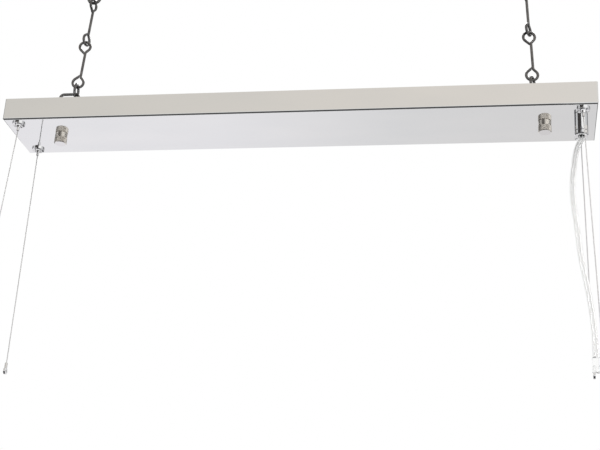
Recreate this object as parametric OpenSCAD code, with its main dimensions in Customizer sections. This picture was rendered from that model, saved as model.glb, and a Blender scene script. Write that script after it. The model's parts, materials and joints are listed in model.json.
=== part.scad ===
// Ceiling canopy and suspension of a rectangular chandelier.
// A mirror-polished pan hangs on two wire chains and carries four cable grippers and a cord grip.
// The origin is on the ceiling, midway between the two ceiling plates. +X runs along the pan and +Z is up.
// The pieces of the canopy are drawn in the pan's own frame, whose zero is the centre of its lower face.

/* [Canopy pan] */
// Length of the pan
pan_l = 600; // [560:5:800]
// Width of the pan
pan_w = 80; // [76:1:120]
// Height of the pan's walls
pan_h = 24; // [23:0.5:40]
// Thickness of the steel sheet
sheet_t = 1; // [0.8:0.1:1.5]
// Outer radius of the pan's lower bends
bend_r = 1.8; // [1.6:0.1:3]
// Outer radius of the pan's upright corners
corner_r = 1.2; // [0.8:0.1:3]
// Ceiling to the pan's lower face
ceiling_drop = 208; // [206:1:211]

/* [Mounting bar] */
// Pan's end to the bar's end
bar_in = 32; // [28:1:36]
// Width of the bar
bar_w = 22; // [18:0.5:26]
// Thickness of the bar
bar_t = 2; // [1.5:0.1:3]
// Pan's lower face to the underside of the bar
bar_z = 17.5; // [15:0.5:19]
// Length of a ceiling fixing slot
slot_l = 24; // [12:1:40]
// Width of a ceiling fixing slot
slot_w = 5; // [4.5:0.1:6]
// Bar's centre to the middle of a fixing slot
slot_x = 60; // [40:1:180]
// Diameter of the supply hole in the middle of the bar
supply_hole_d = 12; // [8:1:14]
// Bar's end to the earth screw
earth_in = 78; // [60:2:100]
// Diameter of the earth screw's head
earth_head_d = 8; // [7:0.5:9]
// Length of the earth screw below the bar
earth_tail = 4; // [3:0.5:6]
// Side of the earth screw's square washer
earth_washer_w = 11; // [10.5:0.5:12]
// Thickness of the earth screw's washer
earth_washer_t = 0.8; // [0.6:0.1:1]

/* [Pan screws and cap nuts] */
// Pan's end to a screw that carries the pan
stud_in = 50; // [49.8:0.1:50.4]
// Diameter of the screw
stud_d = 4; // [3:0.1:4.4]
// Diameter of the screw's head
head_screw_d = 7; // [6:0.1:7.4]
// Height of the screw's head
head_screw_h = 2.6; // [2:0.1:3.5]
// Across the flats of the nut that the pan is clamped against
stud_nut_af = 7; // [6.4:0.1:7.4]
// Height of that nut
stud_nut_h = 3.2; // [2.4:0.1:4]
// Diameter of a cap nut
cap_d = 13; // [11:0.5:16]
// Height of a cap nut
cap_h = 9.4; // [8.5:0.1:12]
// Height of the cap nut's smooth collar
cap_collar_h = 2.2; // [1.5:0.1:3]
// Height of the cap nut's groove
cap_groove_h = 0.9; // [0.5:0.1:1.5]
// Depth of the cap nut's groove
cap_groove_t = 0.9; // [0.4:0.1:1.5]
// Depth of the knurling
knurl_t = 0.3; // [0.15:0.05:0.4]
// Number of knurls round a cap nut
knurl_n = 36; // [24:1:44]

/* [Hanger bows] */
// Pan's left end to the middle of the left bow
bow_in_left = 53.2; // [53:0.1:53.6]
// Pan's right end to the middle of the right bow
bow_in_right = 54.4; // [54.2:0.1:54.6]
// Distance between a bow's two legs
bow_w = 20.4; // [20:0.1:21]
// Diameter of the bow's rod
bow_d = 3.2; // [3:0.1:3.4]
// Radius of a bow's shoulder, at the rod's centre
bow_r = 4; // [3.6:0.1:4.4]
// Pan's lower face to the top of the left bow
bow_top_left = 50.8; // [49.4:0.2:52]
// Pan's lower face to the top of the right bow
bow_top_right = 43.3; // [42:0.2:44.6]
// Length of a leg below the bar
bow_tail = 6; // [5.5:0.25:8]
// Across the flats of a bow nut
bow_nut_af = 5.5; // [5.3:0.1:5.8]
// Height of a bow nut
bow_nut_h = 2.4; // [2:0.1:3]

/* [Chain] */
// Diameter of the chain's wire
wire_d = 2.8; // [2.4:0.1:3]
// Ceiling to the centre of the left hook's wire, which sets the length of the links
hook_drop = 45.4; // [42:0.2:48]
// Outer width of a link's eye
eye_d = 14.4; // [13.6:0.2:16]
// Shank's offset from the middle of a link's eyes
neck_off = 1.5; // [0.5:0.1:2.5]
// Angle at which the wire runs from the shank to an eye
neck_a = 42; // [38:1:46]
// Outer diameter of a connecting ring
ring_d = 17.5; // [17:0.25:18]
// Free play between a ring, link, bow or hook and its neighbour
play = 0.3; // [0.2:0.05:0.4]
// Free play between the right ring and its bow, which lets both chains swing together
open_play = 0.5; // [0.4:0.05:0.6]

/* [Ceiling fixings] */
// Distance between the middles of the two ceiling plates
plate_gap = 467; // [463:1:471]
// Diameter of a ceiling plate
plate_d = 36; // [34:1:60]
// Thickness of a ceiling plate
plate_t = 3; // [2:0.5:5]
// Diameter of the plate's threaded boss
boss_d = 12; // [10:0.5:14]
// Height of the boss, plate included
boss_h = 16; // [15:0.5:17]
// Distance between a plate's two screw holes
plate_hole_w = 24; // [22:0.5:26]
// Diameter of a plate's screw hole
plate_hole_d = 4.4; // [3.5:0.1:5]
// Diameter of the hook's wire
hook_d = 3.2; // [2.8:0.1:3.6]
// Inner diameter of the hook
hook_in = 10; // [9:0.25:11]
// Diameter of the hook's threaded stem
stem_d = 4; // [3:0.1:5]
// Ceiling to the end of the left hook's stem
stem_end = 2; // [1:0.5:4]

/* [Cable grippers] */
// Pan's end to a gripper's axis
gripper_in_x = 14; // [12:0.5:14.5]
// Pan's side to a gripper's axis
gripper_in_y = 10.5; // [9:0.5:14]
// Diameter of the dished flange
dish_d = 13.2; // [13:0.1:15]
// Height of the flange at its rim
dish_h = 1.6; // [1.2:0.1:2]
// Height of the flange's dished face at its middle
dish_t = 0.5; // [0.4:0.1:0.8]
// Height of the flange's conical collar
collar_l = 2.8; // [2.2:0.1:3.2]
// Diameter of the gripper's threaded shank
shank_d = 6; // [5.8:0.1:7]
// Pan's lower face to the tip of the barrel
barrel_tip = 4.3; // [4.1:0.1:5.5]
// Diameter of the barrel's head inside the pan
head_d = 12; // [10:0.5:14]
// Height of the barrel's head
head_h = 3; // [2:0.5:5]
// Diameter of the barrel above its head
barrel_d = 8; // [7:0.5:9]
// Height of the barrel above the sheet
barrel_h = 12; // [11:0.5:14]
// Diameter of the release nipple
nipple_d = 2.6; // [2.2:0.1:3]
// Length of the nipple below the barrel's tip
nipple_l = 4; // [3:0.25:5]
// Diameter of the spring's wire
spring_d = 0.4; // [0.3:0.05:0.5]
// Number of the spring's turns
spring_turns = 6; // [4:1:8]

/* [Cord grip] */
// Pan's right end to the cord grip's axis
grip_in_x = 15; // [13:0.5:16]
// Outer diameter of the cord grip
grip_d = 13.5; // [12:0.5:16]
// Height of the cord grip's fixed body
grip_body_h = 9.4; // [7:0.2:10]
// Height of the cord grip's clamp nut
grip_nut_h = 4.5; // [4:0.25:6]
// Diameter of the cord grip's threaded spigot
spigot_d = 10; // [9.2:0.2:11]
// Height of the spigot above the sheet
spigot_h = 8; // [6.5:0.5:8]
// Diameter of the cord's way through the grip
cord_way_d = 6.4; // [6.2:0.1:6.8]

/* [Terminal block] */
// Cord grip's axis to the block's middle
block_in_x = 51; // [49:1:58]
// Pan's rear side to the block's middle
block_in_y = 15; // [13.5:0.5:16]
// Pitch of the three ways
way_pitch = 8; // [7:0.25:8.5]
// Length of a way
way_l = 20; // [16:0.5:24]
// Height of the block
block_h = 13; // [12:0.5:15]
// Height of a way's axis above the pan's floor
way_z = 6.5; // [5:0.25:7]
// Diameter of a way
way_d = 4.6; // [4:0.1:5]
// Diameter of the well above a screw
well_d = 4.4; // [4:0.1:4.8]

/* [Cables and cord] */
// Diameter of a steel cable
cable_d = 1.1; // [0.8:0.1:1.2]
// Length of a cable's ferrule
ferrule_l = 6; // [5:0.5:12]
// Diameter of a cable's ferrule
ferrule_d = 2.8; // [2.2:0.1:4]
// Outer diameter of a cable's end eye
end_eye_d = 7; // [6:0.25:10]
// Diameter of one of the lead's cores
core_d = 2.3; // [1.8:0.1:2.6]
// Diameter of the hole in a cable's end eye
end_hole_d = 3.2; // [2.5:0.1:4]
// Thickness of a cable's end eye
end_eye_t = 2; // [1.5:0.1:3]
// Width of the clear cord
cord_w = 5.6; // [5:0.1:5.7]
// Thickness of the clear cord
cord_t = 2.8; // [2.4:0.1:3.4]
// Length of the connector on the cord
connector_l = 14; // [12:0.5:20]
// Width of the connector on the cord
connector_w = 8.6; // [8:0.1:14]
// Thickness of the connector on the cord
connector_t = 5.6; // [5:0.2:8]

/* [Hidden] */
$fn = 48;

// Clearances
slack = 0.05; // radial clearance of a thread or a turning fit
hole_slack = 0.15; // radial clearance of a plain hole round a screw or a shank
rub = 0.05; // gap between two flat faces that turn or slide on each other

// Colours
steel = "gainsboro";
gunmetal = "dimgray";
nickel = "silver";
zinc = "lightgray";
brass = "goldenrod";

// Screw slots
slot_cut_w = 1;
slot_cut_h = 1.2;

// Chamfers
cap_edge = 0.7;
nut_edge = 0.8;
grip_edge = 0.4;
barrel_edge = 0.6;
head_edge = 0.5;
nipple_edge = 0.3;

// Pan and bar
bar_l = pan_l - 2 * bar_in;
bar_top = bar_z + bar_t;
earth_x = bar_l / 2 - earth_in;
stud_x = pan_l / 2 - stud_in;
bow_left_x = bow_in_left - pan_l / 2;
bow_right_x = pan_l / 2 - bow_in_right;
inner_z = sheet_t;
cap_floor = 1.5; // closed end of a cap nut's bore
stud_gap = 0.4; // left between the screw's tip and the end of the bore
stud_tip = -(cap_h - cap_floor - stud_gap);

// Chain, measured upwards from the centre of the wire at the bottom of a ring
eye_r = (eye_d - wire_d) / 2;
ring_r = (ring_d - wire_d) / 2;
wire_step = wire_d + play;
ring_to_bow = (wire_d + bow_d) / 2 + play;
link_to_hook = (wire_d + hook_d) / 2 + play;
bow_flat = bow_w - 2 * bow_r;
// A ring sits at the inner end of its bow's flat top, and the pan hangs so that both chains lean alike.
ring_left_x = bow_left_x + bow_flat / 2;
ring_right_x = bow_right_x - bow_flat / 2;
ring_x = (ring_right_x - ring_left_x) / 2;
pan_shift = -(ring_right_x + ring_left_x) / 2;
hook_x = plate_gap / 2;
ring_left_z = bow_top_left - bow_d / 2 - ring_to_bow - ceiling_drop;
ring_right_z = bow_top_right - bow_d / 2 - ring_to_bow - (open_play - play) - ceiling_drop;
// The two links share the height between the left ring and its hook.
hook_left_z = -hook_drop;
hook_s = norm([ring_x - hook_x, hook_left_z - ring_left_z]);
lower_s = 2 * ring_r - wire_step;
link_cc = (hook_s - lower_s + wire_step + link_to_hook) / 2;
upper_s = lower_s + link_cc - wire_step;
// Both chains lean inwards at the top.
lean = asin((ring_x - hook_x) / hook_s);
hook_right_z = ring_right_z + hook_s * cos(lean);
// Turn of each piece about its chain's own line
ring_left_turn = 96;
ring_right_turn = 73;
lower_turn = 7;
upper_left_turn = 78;
upper_right_turn = 68;

// Ceiling hook, measured upwards from the centre of its wire at the bottom
hook_r = (hook_in + hook_d) / 2;
collar_z = 2 * hook_r + 0.2;
collar_d = 8;
collar_h = 2;
hook_turn = 300; // degrees that the hook's wire goes round
stem_l = hook_drop - stem_end - collar_z - collar_h;

// Links: the wire leaves the shank at its neck, runs straight to the eye and comes straight back to the shank
eye_gap = 0.2; // left between the wire's end and the shank
neck_run = (eye_r * cos(neck_a) - neck_off) / sin(neck_a);
neck_h = eye_r * sin(neck_a) + neck_run * cos(neck_a);
shank_l = link_cc - 2 * (eye_r + neck_h);

// Grippers
gripper_x = pan_l / 2 - gripper_in_x;
gripper_y = pan_w / 2 - gripper_in_y;
chamber_wall = 0.9;
chamber_r = shank_d / 2 - chamber_wall;
chamber_floor = 3; // below the pan's lower face
chamber_top = barrel_h - 3;
taper_h = 1.7; // height of the barrel's tapered tip
tip_wall = 0.7; // wall round the nipple at the tip
plunger_collar_h = 3;
nipple_tip = barrel_tip + nipple_l;
cable_way_d = cable_d + 0.5;
dish_lip = 0.4; // flat edge of a flange's rim
collar_tip = 0.3; // wall of the flange's collar at its lower end
collar_foot = 0.9; // and at its upper end

// Cord grip
grip_x = pan_l / 2 - grip_in_x;
grip_bottom = grip_body_h + grip_nut_h;
socket_wall = 2;
socket_r = grip_d / 2 - socket_wall;
socket_h = 4.5;
neck_l = 2.2;
lock_nut_af = spigot_d + 4;
lock_nut_h = 3;

// Terminal block
block_x = grip_x - block_in_x;
block_y = pan_w / 2 - block_in_y;
block_w = 3 * way_pitch;
base_over = 2; // base above a way's axis
well_wall = 1.2;
fixing_hole_d = 2.4;
core_way_d = 2.9;
insert_back = 1; // insert's end behind the block's face
clamp_screw_d = 3.4;
clamp_screw_l = 3;
clamp_slot = [0.8, 0.8]; // width and depth of the slot

// The four corners: side along X, side along Y
LEFT = -1;
RIGHT = 1;
FRONT = -1;
REAR = 1;
corners = [[LEFT, FRONT], [RIGHT, FRONT], [LEFT, REAR], [RIGHT, REAR]];

// Route of a cable on its gripper's axis: share of the sideways reach, and height in the pan's frame.
// It runs straight down through the gripper and then straight to its end.
cable_route = [
    [0, 15], [0, 9], [0, 3], [0, -3], [0, -7], [0.005, -9.5], [0.03, -16], [0.09, -30], [0.22, -60],
    [0.35, -90], [0.48, -120], [0.61, -150], [0.74, -180], [0.87, -210], [0.98, -236]
];
// Sideways reach of each cable at its lower end, outwards along X and Y
reach_front_left = [6, 13];
reach_front_right = [9, 13];
reach_rear_left = [5.5, 12.5];
reach_rear_right = [6, 12.5];
cable_end = cable_route[len(cable_route) - 1];

// Route of the clear cord, counted from the cord grip's axis on the pan's lower face
cord_route = [
    [0, 0, 9], [0, 0, 2], [0, 0, -6], [0, 0, -14], [-0.4, 0, -18], [-2.4, 0, -22], [-4.4, 0, -27],
    [-6, 0, -33], [-7.4, 0, -41], [-8.8, 0, -52], [-9.8, 0, -64], [-10, 0, -76], [-9.2, 0, -88],
    [-7.6, 0, -104], [-6, 0, -122], [-4, 0, -142], [-0.8, 0, -162], [2.4, 0, -182], [4.8, 0, -202],
    [6.2, 0, -222], [7, 0, -240]
];
cord_end = cord_route[len(cord_route) - 1];

// Routes of the lead's two cores inside the pan, from the cord to the terminal block, counted alike
core_route_1 = [
    [1.5, 0, 9], [1.6, 0.4, 12], [0.8, 2.4, 14.8], [-2, 6, 16], [-6.6, 10, 15.4], [-12.4, 13.4, 13],
    [-19, 15.8, 10.2], [-26.4, 16.8, 8.2], [-34.4, 17, 7.5], [-47, 17, 7.5]
];
core_route_2 = [
    [-1.5, 0, 9], [-1.5, 0.4, 13.4], [-2.2, 2.8, 17.6], [-4.8, 7.6, 20], [-9, 13.4, 19.4], [-14, 18.4, 16.2],
    [-20, 22.4, 12.2], [-27, 24.6, 9], [-35, 25, 7.5], [-47, 25, 7.5]
];

// Places a piece that is drawn in the pan's frame.
module at_pan() {
    translate([pan_shift, 0, -ceiling_drop]) children();
}

// A bent rod in the XZ plane round the origin, from angle a0 to a1, counted from +X towards +Z.
module bend(r, d, a0, a1) {
    rotate([90, 0, 0])
        rotate([0, 0, a0])
            rotate_extrude(angle = a1 - a0)
                translate([r, 0]) circle(d = d);
}

// A hexagonal nut with flats towards +X and -X, standing on z = 0.
module hex_nut(af, h, bore_d) {
    difference() {
        intersection() {
            rotate([0, 0, 30]) cylinder(d = af / cos(30), h = h, $fn = 6);
            cylinder(d = af * 1.1, h = h);
        }
        translate([0, 0, -1]) cylinder(d = bore_d, h = h + 2);
    }
}

// A tube swept along points: w wide across the route in the XZ plane and t thick, with 8 sides.
function unit(v) = v / norm(v);
function heading(p, i) = unit(p[min(i + 1, len(p) - 1)] - p[max(i - 1, 0)]);
function side_of(h) = unit(cross(h, [0, 1, 0]));
module sweep(p, w, t) {
    n = 8;
    last = len(p) - 1;
    rings = [
        for (i = [0:last], k = [0:n - 1])
            let(h = heading(p, i), u = side_of(h), v = cross(u, h), a = (k + 0.5) * 360 / n)
                p[i] + (u * w / 2 * cos(a) + v * t / 2 * sin(a)) / cos(180 / n)
    ];
    sides = [
        for (i = [0:last - 1], k = [0:n - 1])
            let(a = i * n + k, b = i * n + (k + 1) % n)
                each [[a, b, b + n], [a, b + n, a + n]]
    ];
    ends = [
        for (k = [1:n - 2]) each [[0, k + 1, k], [last * n, last * n + k, last * n + k + 1]]
    ];
    polyhedron(points = rings, faces = concat(sides, ends), convexity = 4);
}

// Ceiling plates and hooks

module ceiling_plate(side) {
    color(nickel)
        translate([side * hook_x, 0, 0])
            difference() {
                union() {
                    translate([0, 0, -plate_t]) cylinder(d = plate_d, h = plate_t, $fn = 64);
                    translate([0, 0, -boss_h]) cylinder(d = boss_d, h = boss_h);
                }
                translate([0, 0, -boss_h - 1]) cylinder(d = stem_d + 2 * slack, h = boss_h + 2);
                for (y = [-1, 1] * plate_hole_w / 2)
                    translate([0, y, -plate_t - 1]) cylinder(d = plate_hole_d, h = plate_t + 2);
            }
}

// The hook's origin is the centre of the wire at its lowest point.
module ceiling_hook(side, z) {
    color(gunmetal)
        translate([side * hook_x, 0, z]) {
            translate([0, 0, hook_r]) bend(hook_r, hook_d, 90, 90 + hook_turn);
            translate([0, 0, collar_z]) cylinder(d = collar_d, h = collar_h);
            translate([0, 0, collar_z]) cylinder(d = stem_d, h = collar_h + stem_l);
        }
}

module hook_lock_nuts() {
    color(zinc)
        for (side = [LEFT, RIGHT])
            translate([side * hook_x, 0, -boss_h - stud_nut_h])
                hex_nut(stud_nut_af, stud_nut_h, stem_d + 2 * slack);
}

// Chain

// The wire below a shank that ends at the origin: a slanting run, three quarters of a turn round the eye,
// and a straight run back, whose end is cut flat against the shank.
module eye() {
    reach = wire_d / 2 + eye_gap;
    sphere(d = wire_d);
    rotate([0, -neck_a, 0]) {
        translate([0, 0, -neck_run]) cylinder(d = wire_d, h = neck_run);
        translate([-eye_r, 0, -neck_run]) {
            mirror([0, 0, 1]) bend(eye_r, wire_d, 0, 270);
            difference() {
                translate([0, 0, eye_r]) rotate([0, 90, 0]) cylinder(d = wire_d, h = 2 * eye_r);
                translate([eye_r, 0, neck_run])
                    rotate([0, neck_a, 0])
                        translate([-reach, -wire_d, -eye_d]) cube([2 * eye_d, 2 * wire_d, 2 * eye_d]);
            }
        }
    }
}

// A link with the centre of its lowest wire at the origin
module link() {
    translate([neck_off, 0, eye_r + neck_h]) {
        eye();
        cylinder(d = wire_d, h = shank_l);
        translate([0, 0, shank_l]) mirror([0, 0, 1]) eye();
    }
}

module ring() {
    translate([0, 0, ring_r])
        rotate([90, 0, 0])
            rotate_extrude()
                translate([ring_r, 0]) circle(d = wire_d);
}

// Places a piece of the left or the right chain, s above the ring's lowest wire.
module at_chain(side, z, s, turn) {
    translate([side * ring_x, 0, z])
        rotate([0, -side * lean, 0])
            translate([0, 0, s])
                rotate([0, 0, turn]) children();
}

module left_piece(s, turn) {
    color(gunmetal) at_chain(LEFT, ring_left_z, s, turn) children();
}

module right_piece(s, turn) {
    color(gunmetal) at_chain(RIGHT, ring_right_z, s, turn) children();
}

// Hanger bows

module hanger(x, top) {
    z = top - bow_d / 2;
    half = bow_w / 2;
    foot = bar_z - bow_tail;
    color(gunmetal)
        at_pan()
            translate([x, 0, 0]) {
                for (s = [-1, 1])
                    translate([s * half, 0, foot]) cylinder(d = bow_d, h = z - bow_r - foot);
                translate([half - bow_r, 0, z - bow_r]) bend(bow_r, bow_d, 0, 90);
                translate([bow_r - half, 0, z - bow_r]) bend(bow_r, bow_d, 90, 180);
                translate([bow_r - half, 0, z]) rotate([0, 90, 0]) cylinder(d = bow_d, h = bow_flat);
            }
}

// Two nuts locked against each other below the bar, on each leg
module hanger_nuts() {
    color(zinc)
        at_pan()
            for (x = [bow_left_x, bow_right_x], s = [-1, 1], i = [1, 2])
                translate([x + s * bow_w / 2, 0, bar_z - i * (bow_nut_h + rub)])
                    hex_nut(bow_nut_af, bow_nut_h, bow_d + 2 * slack);
}

// Mounting bar

module slot(l, w, h) {
    for (s = [-1, 1]) translate([s * (l - w) / 2, 0, 0]) cylinder(d = w, h = h);
    translate([-(l - w) / 2, -w / 2, 0]) cube([l - w, w, h]);
}

module mounting_bar() {
    color(zinc)
        at_pan()
            difference() {
                translate([0, 0, bar_z]) slot(bar_l, bar_w, bar_t);
                translate([0, 0, bar_z - 1]) cylinder(d = supply_hole_d, h = bar_t + 2);
                for (side = [LEFT, RIGHT]) {
                    translate([side * slot_x, 0, bar_z - 1]) slot(slot_l, slot_w, bar_t + 2);
                    translate([side * 2 * slot_x, 0, bar_z - 1]) slot(slot_l, slot_w, bar_t + 2);
                    translate([side * stud_x, 0, bar_z - 1])
                        cylinder(d = stud_d + 2 * hole_slack, h = bar_t + 2);
                }
                for (x = [bow_left_x, bow_right_x], s = [-1, 1])
                    translate([x + s * bow_w / 2, 0, bar_z - 1])
                        cylinder(d = bow_d + 2 * hole_slack, h = bar_t + 2);
                translate([earth_x, 0, bar_z - 1]) cylinder(d = stud_d + 2 * slack, h = bar_t + 2);
            }
}

// Screws that hang from the bar and end inside the cap nuts
module pan_screws() {
    color(zinc)
        at_pan()
            for (side = [LEFT, RIGHT])
                translate([side * stud_x, 0, 0])
                    difference() {
                        union() {
                            translate([0, 0, stud_tip]) cylinder(d = stud_d, h = bar_top - stud_tip);
                            translate([0, 0, bar_top]) cylinder(d = head_screw_d, h = head_screw_h);
                        }
                        translate([-head_screw_d, -slot_cut_w / 2, bar_top + head_screw_h - slot_cut_h])
                            cube([2 * head_screw_d, slot_cut_w, 2 * slot_cut_h]);
                    }
}

// Nuts that the cap nuts clamp the pan against
module pan_nuts() {
    color(zinc)
        at_pan()
            for (side = [LEFT, RIGHT])
                translate([side * stud_x, 0, inner_z]) hex_nut(stud_nut_af, stud_nut_h, stud_d + 2 * slack);
}

// Earth screw on the bar, with the washer that takes the earth lead

module earth_screw() {
    tail_z = bar_z - earth_tail;
    head_z = bar_top + earth_washer_t;
    color(brass)
        at_pan()
            translate([earth_x, 0, 0])
                difference() {
                    union() {
                        translate([0, 0, tail_z]) cylinder(d = stud_d, h = head_z - tail_z);
                        translate([0, 0, head_z]) cylinder(d = earth_head_d, h = head_screw_h);
                    }
                    translate([-earth_head_d, -slot_cut_w / 2, head_z + head_screw_h - slot_cut_h])
                        cube([2 * earth_head_d, slot_cut_w, 2 * slot_cut_h]);
                }
}

module earth_washer() {
    color(zinc)
        at_pan()
            translate([earth_x, 0, bar_top])
                difference() {
                    union() {
                        translate([-earth_washer_w / 2, -earth_washer_w / 2, 0])
                            cube([earth_washer_w, earth_washer_w, earth_washer_t]);
                        for (y = [0, earth_washer_w - earth_washer_t])
                            translate([-earth_washer_w / 2, y - earth_washer_w / 2, 0])
                                cube([earth_washer_w, earth_washer_t, 3 * earth_washer_t]);
                    }
                    translate([0, 0, -1]) cylinder(d = stud_d + 2 * slack, h = 2 + earth_washer_t);
                }
}

// Canopy pan

// A shallow box with rounded lower edges and upright corners, open or closed at z = h.
module pan_form(l, w, h, low_r, side_r) {
    intersection() {
        translate([0, w / 2, 0]) rotate([90, 0, 0]) linear_extrude(w) pan_section(l, h, low_r);
        translate([-l / 2, 0, 0]) rotate([90, 0, 90]) linear_extrude(l) pan_section(w, h, low_r);
        linear_extrude(h) round_rect(l, w, side_r);
    }
}

// A rectangle on y = 0 with its two lower corners rounded.
module pan_section(l, h, r) {
    for (s = [-1, 1]) translate([s * (l / 2 - r), r]) circle(r = r);
    translate([r - l / 2, 0]) square([l - 2 * r, h]);
    translate([-l / 2, r]) square([l, h - r]);
}

module round_rect(l, w, r) {
    for (x = [-1, 1], y = [-1, 1]) translate([x * (l / 2 - r), y * (w / 2 - r)]) circle(r = r);
    square([l - 2 * r, w], center = true);
    square([l, w - 2 * r], center = true);
}

module canopy_pan() {
    inner_l = pan_l - 2 * sheet_t;
    inner_w = pan_w - 2 * sheet_t;
    color(steel)
        at_pan()
            difference() {
                pan_form(pan_l, pan_w, pan_h, bend_r, corner_r);
                translate([0, 0, inner_z])
                    pan_form(inner_l, inner_w, pan_h, bend_r - sheet_t / 2, corner_r / 2);
                for (c = corners)
                    translate([c[0] * gripper_x, c[1] * gripper_y, -1])
                        cylinder(d = shank_d + 2 * hole_slack, h = sheet_t + 2);
                for (side = [LEFT, RIGHT])
                    translate([side * stud_x, 0, -1]) cylinder(d = stud_d + 2 * hole_slack, h = sheet_t + 2);
                translate([grip_x, 0, -1]) cylinder(d = spigot_d + 2 * hole_slack, h = sheet_t + 2);
            }
}

// Cap nuts

// Straight knurling: V notches round a disc of radius r, to be cut from it.
module knurl_notches(r, h) {
    half = r * sin(0.4 * 360 / knurl_n); // half a notch's width at the disc's surface
    for (i = [0:knurl_n - 1])
        rotate([0, 0, i * 360 / knurl_n])
            linear_extrude(h)
                polygon([[r - knurl_t, 0], [r + knurl_t, -2 * half], [r + knurl_t, 2 * half]]);
}

// Smooth collar against the pan, a groove, and the knurled grip below it
module cap_nut(side) {
    r = cap_d / 2;
    collar_r = r - 0.2;
    groove_r = r - cap_groove_t;
    groove_z = -cap_collar_h - cap_groove_h;
    color(nickel)
        at_pan()
            translate([side * stud_x, 0, 0])
                difference() {
                    rotate_extrude()
                        polygon([
                            [0, -cap_h], [r - cap_edge, -cap_h], [r, -cap_h + cap_edge], [r, groove_z],
                            [groove_r, groove_z], [groove_r, -cap_collar_h], [collar_r, -cap_collar_h],
                            [collar_r, -rub], [0, -rub]
                        ]);
                    translate([0, 0, -cap_h - 1]) knurl_notches(r, cap_h + 1 + groove_z + cap_groove_h / 2);
                    translate([0, 0, -cap_h + cap_floor]) cylinder(d = stud_d + 2 * slack, h = cap_h);
                }
}

// Cable grippers

module at_gripper(c) {
    at_pan() translate([c[0] * gripper_x, c[1] * gripper_y, 0]) children();
}

// Flange nut under the pan: a disc whose lower face is dished, with a conical collar round the shank
module gripper_flange() {
    bore_r = shank_d / 2 + slack;
    rim_r = dish_d / 2 - dish_lip;
    // Centre of the dish's arc, which runs from the bore to the rim
    arc_z = (rim_r * rim_r - bore_r * bore_r + dish_h * dish_h - dish_t * dish_t) / (2 * (dish_h - dish_t));
    rotate_extrude()
        difference() {
            translate([bore_r, -dish_h]) square([dish_d / 2 - bore_r, dish_h]);
            translate([0, -arc_z]) circle(r = norm([rim_r, arc_z - dish_h]), $fn = 96);
        }
    rotate_extrude()
        polygon([
            [bore_r, -dish_t / 2], [bore_r, -collar_l], [bore_r + collar_tip, -collar_l],
            [bore_r + collar_foot, -dish_t / 2]
        ]);
}

module gripper_flanges() {
    color(nickel) for (c = corners) at_gripper(c) gripper_flange();
}

// Barrel: head inside the pan, threaded shank through it, and a tapered tip below
module gripper_barrel() {
    shank_r = shank_d / 2;
    tip_r = nipple_d / 2 + tip_wall;
    head_top = inner_z + head_h;
    difference() {
        rotate_extrude()
            polygon([
                [0, -barrel_tip], [tip_r, -barrel_tip], [shank_r, -barrel_tip + taper_h], [shank_r, inner_z],
                [head_d / 2, inner_z], [head_d / 2, head_top - head_edge], [head_d / 2 - head_edge, head_top],
                [barrel_d / 2, head_top], [barrel_d / 2, barrel_h - barrel_edge],
                [barrel_d / 2 - barrel_edge, barrel_h], [0, barrel_h]
            ]);
        translate([0, 0, -chamber_floor]) cylinder(r = chamber_r, h = chamber_floor + chamber_top);
        translate([0, 0, -barrel_tip - 1]) cylinder(d = nipple_d + 2 * slack, h = barrel_tip);
        translate([0, 0, chamber_top - 1]) cylinder(d = cable_way_d, h = barrel_h - chamber_top + 2);
    }
}

module gripper_barrels() {
    color(nickel) for (c = corners) at_gripper(c) gripper_barrel();
}

module gripper_plunger(c) {
    collar_r = chamber_r - slack;
    color(nickel)
        at_gripper(c)
            difference() {
                union() {
                    translate([0, 0, -chamber_floor + rub]) cylinder(r = collar_r, h = plunger_collar_h);
                    translate([0, 0, -nipple_tip + nipple_edge])
                        cylinder(d = nipple_d, h = nipple_tip - chamber_floor + 1);
                    translate([0, 0, -nipple_tip])
                        cylinder(d1 = nipple_d - 2 * nipple_edge, d2 = nipple_d, h = nipple_edge);
                }
                translate([0, 0, -nipple_tip - 1])
                    cylinder(d = cable_way_d, h = nipple_tip - chamber_floor + plunger_collar_h + 2);
            }
}

// Spring that presses the plunger down, as a round wire wound along Z
module gripper_spring(c) {
    n = 6;
    steps = spring_turns * 8;
    coil_r = chamber_r - 0.4 - spring_d / 2; // loose in its chamber
    foot = plunger_collar_h - chamber_floor + 2 * rub + spring_d / 2;
    rise = chamber_top - rub - spring_d / 2 - foot;
    pitch = rise / spring_turns;
    dip = atan2(pitch, 2 * PI * coil_r);
    rings = [
        for (i = [0:steps], k = [0:n - 1])
            let(a = i * 360 * spring_turns / steps, b = k * 360 / n,
                out = spring_d / 2 * cos(b), up = spring_d / 2 * sin(b))
                [
                    (coil_r + out) * cos(a) + up * sin(dip) * sin(a),
                    (coil_r + out) * sin(a) - up * sin(dip) * cos(a),
                    foot + rise * i / steps + up * cos(dip)
                ]
    ];
    sides = [
        for (i = [0:steps - 1], k = [0:n - 1])
            let(p = i * n + k, q = i * n + (k + 1) % n)
                each [[p, p + n, q], [q, p + n, q + n]]
    ];
    ends = [
        for (k = [1:n - 2]) each [[0, k, k + 1], [steps * n, steps * n + k + 1, steps * n + k]]
    ];
    color(nickel) at_gripper(c) polyhedron(points = rings, faces = concat(sides, ends), convexity = 8);
}

// Cord grip

module at_grip() {
    at_pan() translate([grip_x, 0, 0]) children();
}

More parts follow.
